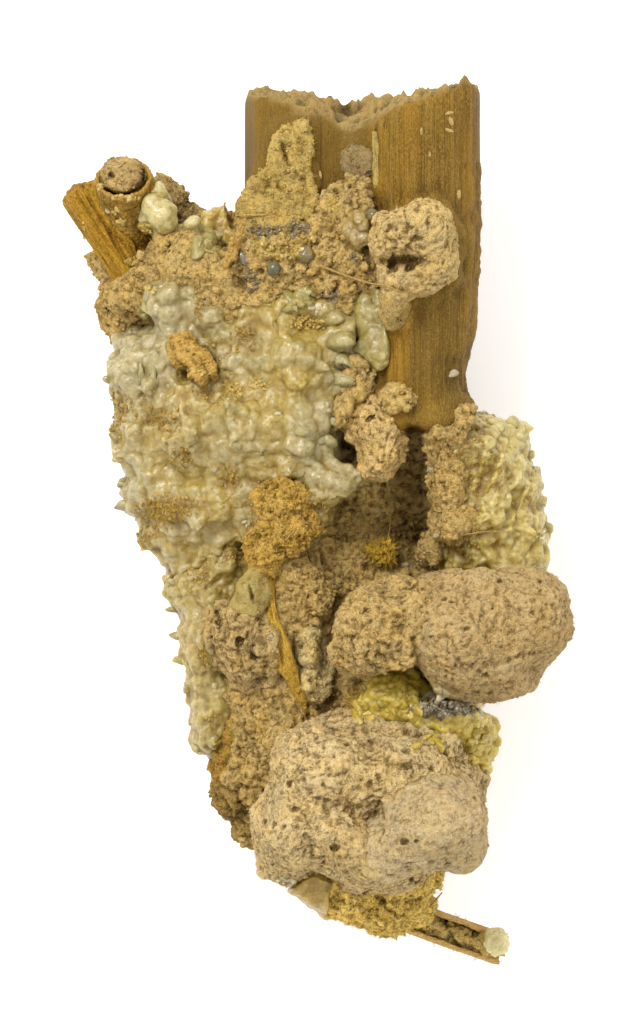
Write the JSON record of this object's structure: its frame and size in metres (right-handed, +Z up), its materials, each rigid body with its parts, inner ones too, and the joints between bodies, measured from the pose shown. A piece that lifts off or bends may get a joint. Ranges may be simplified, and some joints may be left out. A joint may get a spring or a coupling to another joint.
{
  "type": "gibbsite pseudomorph",
  "caption": "Loose mineral specimen: old wood and plant stems overgrown by crumbly earth, pale yellow crystal crusts and rounded clods.",
  "frame": {"origin": "on the surface the specimen rests on, under the middle of its outline", "axes": "+Z up, out of the face that is looked at; +Y along the specimen towards the broken end of the wood; X across it"},
  "size_m": [0.0504, 0.0886, 0.0318],
  "materials": {
    "wood_slab": "weathered, split along the grain",
    "straw_splinter": "dry straw",
    "wood_pebble": "matte, crumbly",
    "bark_splinter": "dry fibre",
    "stem_stub": "weathered, ribbed",
    "hollow_stem": "weathered, fibrous",
    "earth_plug": "matte earth",
    "clod_upper": "matte, finely pitted",
    "crumb_below_clod": "matte, crumbly",
    "clod_right": "matte, finely pitted",
    "clod_right_small": "matte, rough",
    "small_lobe": "matte",
    "pale_lobe": "matte, smooth",
    "clod_bottom": "matte, very rough",
    "clod_middle": "matte, pitted",
    "brown_plate": "dull",
    "orange_crumb": "matte, mossy",
    "tan_pebble": "matte, smooth",
    "orange_stem": "dry fibre",
    "rough_nodule": "matte, rough",
    "grey_ridge": "matte, porous",
    "rosette": "satin crystal",
    "dark_mineral": "dull metallic lustre",
    "knob_crystal": "satin crystal",
    "reed": "fibrous",
    "reed_cap": "satin crystal",
    "reed_fill": "matte, crumbly",
    "pale_cluster": "satin crystal",
    "spiky_fragment": "satin crystal",
    "bead_by_splinter": "glossy, translucent",
    "bead_grey": "glossy, translucent",
    "bead_clear": "glossy, translucent",
    "bead_upper": "glossy, translucent",
    "green_lump": "satin crystal",
    "green_crystals": "satin crystal",
    "wood_crust": "matte crust",
    "earth_ridge": "matte earth",
    "crust_main": "satin crystal, translucent",
    "crust_lower_left": "satin crystal, translucent",
    "crust_right": "satin crystal, translucent",
    "crust_green": "satin crystal",
    "foot_lump": "matte, rough",
    "orange_ridge": "matte, rough",
    "crumb_bottom": "matte, crumbly",
    "matrix": "matte earth"
  },
  "bodies": {
    "root": {"wood_slab": "wood_slab", "straw_splinter": "straw_splinter", "wood_pebble": "wood_pebble", "bark_splinter": "bark_splinter", "stem_stub": "stem_stub", "hollow_stem": "hollow_stem", "earth_plug": "earth_plug", "clod_upper": "clod_upper", "crumb_below_clod": "crumb_below_clod", "clod_right": "clod_right", "clod_right_small": "clod_right_small", "small_lobe": "small_lobe", "pale_lobe": "pale_lobe", "clod_bottom": "clod_bottom", "clod_middle": "clod_middle", "brown_plate": "brown_plate", "orange_crumb": "orange_crumb", "tan_pebble": "tan_pebble", "orange_stem": "orange_stem", "rough_nodule": "rough_nodule", "grey_ridge": "grey_ridge", "rosette": "rosette", "dark_mineral": "dark_mineral", "knob_crystal": "knob_crystal", "reed": "reed", "reed_cap": "reed_cap", "reed_fill": "reed_fill", "pale_cluster": "pale_cluster", "spiky_fragment": "spiky_fragment", "bead_by_splinter": "bead_by_splinter", "bead_grey": "bead_grey", "bead_clear": "bead_clear", "bead_upper": "bead_upper", "green_lump": "green_lump", "green_crystals": "green_crystals", "wood_crust": "wood_crust", "earth_ridge": "earth_ridge", "crust_main": "crust_main", "crust_lower_left": "crust_lower_left", "crust_right": "crust_right", "crust_green": "crust_green", "foot_lump": "foot_lump", "orange_ridge": "orange_ridge", "crumb_bottom": "crumb_bottom", "matrix": "matrix"}
  },
  "joints": []
}
